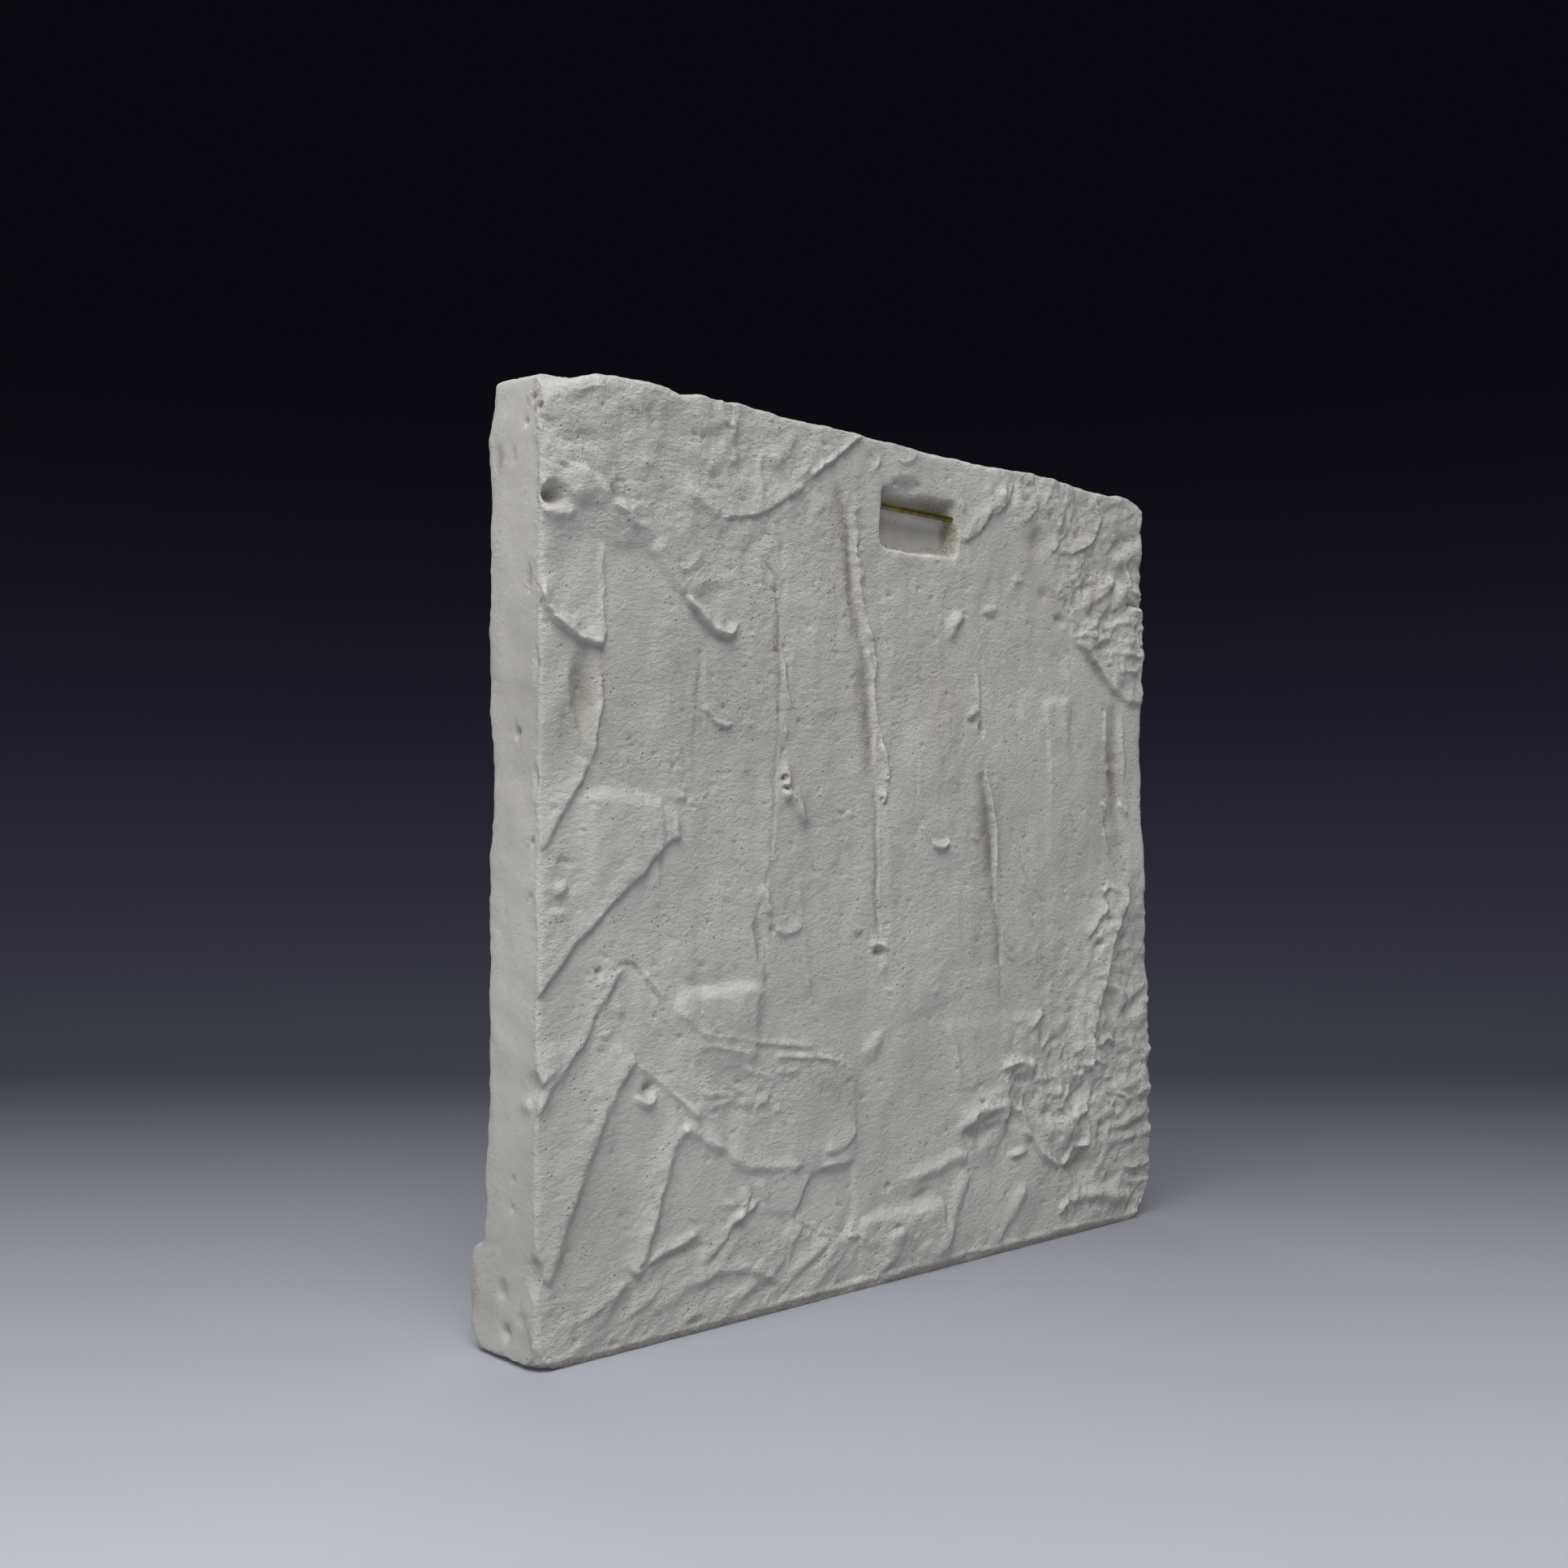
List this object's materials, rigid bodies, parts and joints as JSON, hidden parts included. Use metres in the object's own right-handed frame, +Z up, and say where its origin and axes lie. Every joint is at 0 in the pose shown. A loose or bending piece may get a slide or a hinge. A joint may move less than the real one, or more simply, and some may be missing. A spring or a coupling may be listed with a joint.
{
  "type": "plaster relief",
  "caption": "Square cast plaster relief slab that stands on a thickened foot, with a low palmette on its front, a knife-marked back and a brass rod across a recess to hang it by.",
  "frame": {"origin": "on the floor, under the middle of the slab's box", "axes": "+Z up, the carved front faces -Y and the rough back faces +Y, so +X is the right-hand side seen from the front"},
  "size_m": [0.4382, 0.0549, 0.4308],
  "materials": {
    "plaster": "matt cast plaster, greyed and dirty in the hollows",
    "brass": "dark tarnished brass"
  },
  "bodies": {
    "root": {"plaster_slab": "plaster", "hanging_rod": "brass"}
  },
  "joints": []
}
